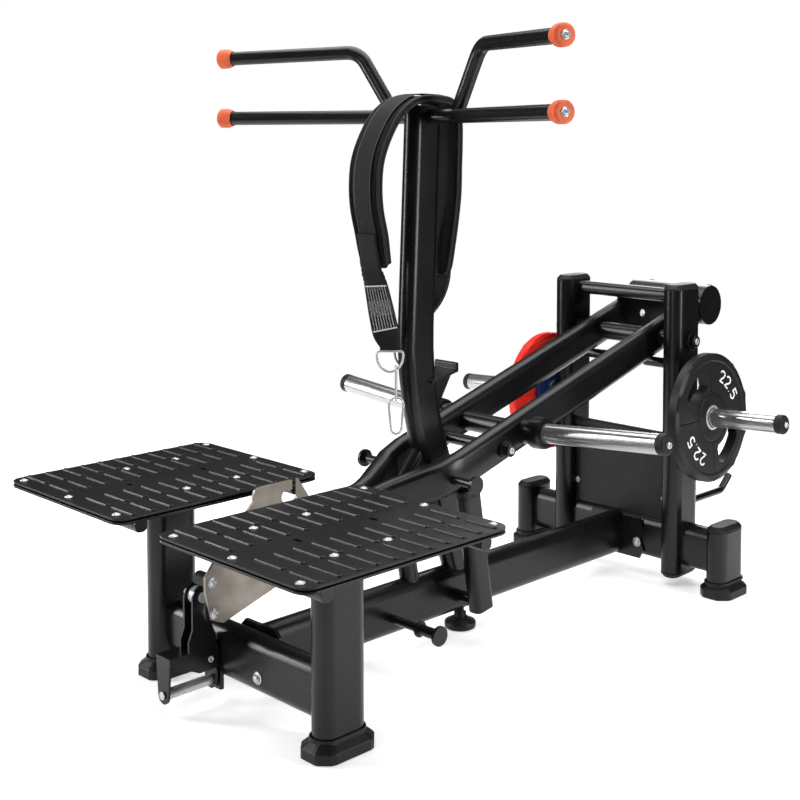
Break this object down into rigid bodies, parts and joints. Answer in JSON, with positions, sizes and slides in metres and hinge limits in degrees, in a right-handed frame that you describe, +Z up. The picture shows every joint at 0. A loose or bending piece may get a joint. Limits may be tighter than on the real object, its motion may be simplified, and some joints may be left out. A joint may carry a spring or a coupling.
{
  "type": "belt squat machine",
  "caption": "Plate-loaded belt squat machine: two step platforms, a rear-hinged forked lever with a belt hook, a handle post and a padded hip belt.",
  "frame": {"origin": "middle of the footprint, on the floor", "axes": "+Z up; +Y from the step platforms towards the rear stand, the way the user faces; +X to the user's right"},
  "size_m": [1.1489, 1.9139, 1.4467],
  "materials": {
    "black_paint": "satin black powder coat with a fine orange-peel texture",
    "black_plastic": "matt black moulded plastic",
    "black_rubber": "matt black moulded rubber",
    "polished_chrome": "bright hard chrome",
    "stainless_plate": "brushed stainless plate with a warm tint",
    "zinc_steel": "bright zinc plating",
    "orange_rubber": "smooth orange moulded rubber",
    "blue_rubber": "matt dark blue moulded rubber",
    "red_rubber": "matt red moulded rubber",
    "black_webbing": "black woven nylon over a padded band"
  },
  "bodies": {
    "frame": {"front_stand": "black_paint", "deck_right": "black_paint", "tread_right": "black_paint", "front_boot_right": "black_rubber", "deck_left": "black_paint", "tread_left": "black_paint", "front_boot_left": "black_rubber", "main_beam": "black_paint", "levelling_foot": "black_rubber", "rear_stand": "black_paint", "rear_boot_right": "black_rubber", "rear_post_cap_right": "black_plastic", "upright_cap_right": "black_plastic", "upright_foot_cap_right": "black_plastic", "rear_boot_left": "black_rubber", "rear_post_cap_left": "black_plastic", "upright_cap_left": "black_plastic", "upright_foot_cap_left": "black_plastic", "back_panel": "black_plastic", "rod_hook": "black_paint", "storage_horn_right": "polished_chrome", "storage_horn_cap_right": "black_plastic", "storage_horn_left": "polished_chrome", "storage_horn_cap_left": "black_plastic", "pivot_shaft": "zinc_steel", "centre_post": "black_paint", "post_brace": "black_paint", "handle_set": "black_paint", "handle_knob_lower_right": "orange_rubber", "handle_knob_upper_right": "orange_rubber", "handle_knob_lower_left": "orange_rubber", "handle_knob_upper_left": "orange_rubber", "catch_bar": "polished_chrome", "belt_pad": "black_webbing", "belt_strap_front": "black_webbing", "belt_strap_rear": "black_webbing", "belt_ring_front": "zinc_steel", "belt_ring_rear": "zinc_steel", "belt_link": "zinc_steel"},
    "lever": {"lever_frame": "black_paint", "hook_plate": "stainless_plate", "catch_block": "black_plastic", "load_horn_right": "polished_chrome", "load_horn_left": "polished_chrome", "load_horn_cap_right": "black_plastic", "load_horn_cap_left": "black_plastic", "brace_bolt_right": "zinc_steel", "brace_bolt_left": "zinc_steel", "counterweight": "black_paint"},
    "prop": {"prop_tube": "black_paint", "prop_pad": "black_rubber"},
    "catch": {"catch_bracket": "black_paint", "roller_bolt": "zinc_steel"},
    "roller_1": {"catch_roller_1": "zinc_steel"},
    "roller_2": {"catch_roller_2": "zinc_steel"},
    "plate_right": {"weight_plate_right": "black_rubber"},
    "plate_left_inner": {"weight_plate_left_inner": "blue_rubber"},
    "plate_left_outer": {"weight_plate_left_outer": "red_rubber"},
    "clip": {"clip_body": "zinc_steel"},
    "gate": {"clip_gate": "zinc_steel"}
  },
  "joints": [
    {"name": "lever_lift", "type": "hinge", "parent": "frame", "child": "lever", "pos_m": [0, 0.666, 0.67], "axis": [-1, 0, 0], "range_deg": [0, 20]},
    {"name": "prop_swing", "type": "hinge", "parent": "frame", "child": "prop", "pos_m": [0.108, -0.0583, 0.099], "axis": [-1, 0, 0], "range_deg": [0, 20]},
    {"name": "catch_tilt", "type": "hinge", "parent": "frame", "child": "catch", "pos_m": [-0.084, -0.776, 0.047], "axis": [0, -1, 0], "range_deg": [0, 20]},
    {"name": "roller_1_spin", "type": "hinge", "parent": "catch", "child": "roller_1", "pos_m": [-0.0815, -0.755, 0.244], "axis": [1, 0, 0], "continuous": true},
    {"name": "roller_2_spin", "type": "hinge", "parent": "catch", "child": "roller_2", "pos_m": [-0.0705, -0.755, 0.244], "axis": [1, 0, 0], "continuous": true},
    {"name": "plate_right_slide", "type": "slide", "parent": "frame", "child": "plate_right", "axis": [0.9981, 0, 0.0611], "range_m": [0, 0.18]},
    {"name": "plate_left_inner_slide", "type": "slide", "parent": "frame", "child": "plate_left_inner", "axis": [-0.9986, 0, -0.0523], "range_m": [0, 0.12]},
    {"name": "plate_left_outer_slide", "type": "slide", "parent": "plate_left_inner", "child": "plate_left_outer", "axis": [-0.9986, 0, -0.0523], "range_m": [0, 0.14]},
    {"name": "clip_swing", "type": "hinge", "parent": "frame", "child": "clip", "pos_m": [0.01, -0.247, 0.6061], "axis": [-0.7071, 0.7071, 0], "range_deg": [-25, 25]},
    {"name": "gate_open", "type": "hinge", "parent": "clip", "child": "gate", "pos_m": [0.0177, -0.2393, 0.5435], "axis": [0.7071, -0.7071, 0], "range_deg": [0, 20], "stiffness_Nm_per_rad": 0.02, "springref_deg": -10}
  ]
}
